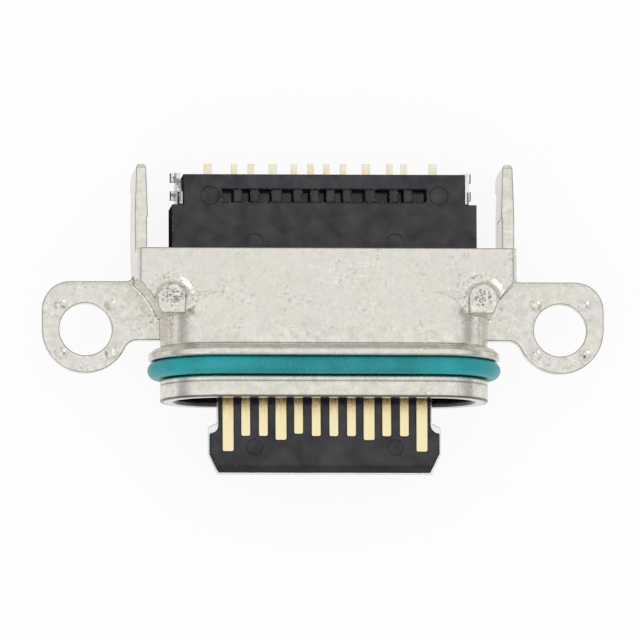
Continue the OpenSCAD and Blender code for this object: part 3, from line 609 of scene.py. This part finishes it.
# %% Broken gates on the wings
GATE_R = 0.27
GATE_CORNERS = 30
RINGS = 5
RING_WIDTH = 0.045
FACET = 0.055
PROUD = 0.01
RAGGED = 0.08
OFF_PAD = Vector((0, 0, 0.002))
gate_places = [Vector((-4.34, 2.85, 1.66)), Vector((4.41, 2.81, 1.66))]
for number, spot in enumerate(gate_places):
    elsewhere = Vector((7.3 * number, 1.7, 0.4))
    scar = bmesh.new()
    bmesh.ops.create_circle(scar, cap_ends=True, segments=GATE_CORNERS, radius=GATE_R * MM)
    for ring in range(RINGS):
        middle = max(scar.faces, key=lambda f: len(f.verts))
        bmesh.ops.inset_region(scar, faces=[middle], thickness=RING_WIDTH * MM)
    bmesh.ops.triangulate(scar, faces=scar.faces)
    for corner in scar.verts:
        out = corner.co.length / (GATE_R * MM)
        held = min(1, (1.02 - out) * 4)
        lift = noise.noise(corner.co / (FACET * MM) + elsewhere)
        corner.co.z = (PROUD + RAGGED * lift) * MM * held
    bmesh.ops.translate(scar, verts=scar.verts, vec=(spot + OFF_PAD) * MM)
    mesh = bpy.data.meshes.new("gate_scar_%d" % (number + 1))
    scar.to_mesh(mesh)
    scar.free()
    mesh.materials.append(broken)
    piece = bpy.data.objects.new(mesh.name, mesh)
    bpy.context.scene.collection.objects.link(piece)
    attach(piece, "root")
    print(piece.name, "has", len(mesh.polygons), "facets")

# %% [markdown]
# The port lies on a white table. The table shows its own white to the camera and, a little less, to the
# metal that mirrors it. The rest is its real paint, so that the port's soft shadow stays.

# %% White table paint
MIRRORED_SHARE = 0.78
CAMERA_MORE = 0.12
table_paint = bpy.data.materials.new("white_table_paint")
table_paint.use_nodes = True
tree = table_paint.node_tree
tree.nodes.clear()
path = add(tree, "ShaderNodeLightPath", {})
looked = add(tree, "ShaderNodeMath", {"operation": "MAXIMUM"},
             {0: path.outputs["Is Camera Ray"], 1: path.outputs["Is Glossy Ray"]})
shown = add(tree, "ShaderNodeMath", {"operation": "MAXIMUM"},
            {0: looked.outputs["Value"], 1: path.outputs["Is Transmission Ray"]})
seen = add(tree, "ShaderNodeMath", {"operation": "MULTIPLY", 1: MIRRORED_SHARE},
           {0: shown.outputs["Value"]})
share = add(tree, "ShaderNodeMath", {"operation": "MULTIPLY_ADD", 1: CAMERA_MORE},
            {0: path.outputs["Is Camera Ray"], 2: seen.outputs["Value"]})
paint = add(tree, "ShaderNodeBsdfDiffuse", {"Color": linear("#FAFAFA")})
glow = add(tree, "ShaderNodeEmission", {"Color": (1, 1, 1, 1), "Strength": 1.0})
white = add(tree, "ShaderNodeMixShader", {},
            {0: share.outputs["Value"], 1: paint.outputs["BSDF"], 2: glow.outputs["Emission"]})
add(tree, "ShaderNodeOutputMaterial", {}, {"Surface": white.outputs["Shader"]})
print("made", table_paint.name)

# %% [markdown]
# The board itself is one large square at the height of the port's lowest point. It isn't part of the
# object.

# %% White table
TABLE_HALF = 300
board = bmesh.new()
bmesh.ops.create_grid(board, x_segments=1, y_segments=1, size=TABLE_HALF * MM,
                      matrix=Matrix.Translation((0, 0, cad_box[0].z)))
table_mesh = bpy.data.meshes.new("table")
board.to_mesh(table_mesh)
board.free()
table_mesh.materials.append(table_paint)
table = bpy.data.objects.new("table", table_mesh)
bpy.context.scene.collection.objects.link(table)
print("table at", round(cad_box[0].z / MM, 2), "mm")

# %% [markdown]
# In a light tent the roof is bright and the walls are a little dimmer. A flat metal face mirrors the roof
# and looks as pale as it is, and a rounded edge mirrors the walls and turns darker. So the sky grows from
# one half at the horizon to full strength overhead.

# %% Light tent
world = bpy.data.worlds.new("light_tent")
world.use_nodes = True
bpy.context.scene.world = world
tree = world.node_tree
tree.nodes.clear()
way = add(tree, "ShaderNodeTexCoord", {})
height = add(tree, "ShaderNodeSeparateXYZ", {}, {"Vector": way.outputs["Generated"]})
tent = add(tree, "ShaderNodeMapRange",
           {"interpolation_type": "SMOOTHSTEP", "From Min": 0.2, "From Max": 0.6,
            "To Min": 0.5, "To Max": 1.0},
           {"Value": height.outputs["Z"]})
sky = add(tree, "ShaderNodeBackground", {"Color": (1, 1, 1, 1)}, {"Strength": tent.outputs["Result"]})
add(tree, "ShaderNodeOutputWorld", {}, {"Surface": sky.outputs["Background"]})
print("made", world.name)

# %% [markdown]
# One small lamp from the front left gives dips and edges a bright side. A sun would draw hard shadows, so
# it is a disc as wide as a small softbox, turned to face the port. At this small scale a fraction of a
# watt is enough.

# %% Lamp
LAMP_WIDTH = 120
LAMP_WATTS = 0.034
lamp_place = Vector((-120, -110, 170)) * MM
softbox = bpy.data.lights.new("softbox", "AREA")
softbox.shape = "DISK"
softbox.size = LAMP_WIDTH * MM
softbox.energy = LAMP_WATTS
lamp = bpy.data.objects.new("softbox", softbox)
facing = lamp_place.to_track_quat("Z", "Y").to_matrix().to_4x4()
lamp.matrix_world = Matrix.Translation(lamp_place) @ facing
bpy.context.scene.collection.objects.link(lamp)
print("made", lamp.name, "of", LAMP_WATTS, "watts")

# %% [markdown]
# The colours are shown with the Standard view transform.

# %% Standard view transform
bpy.context.scene.view_settings.view_transform = "Standard"
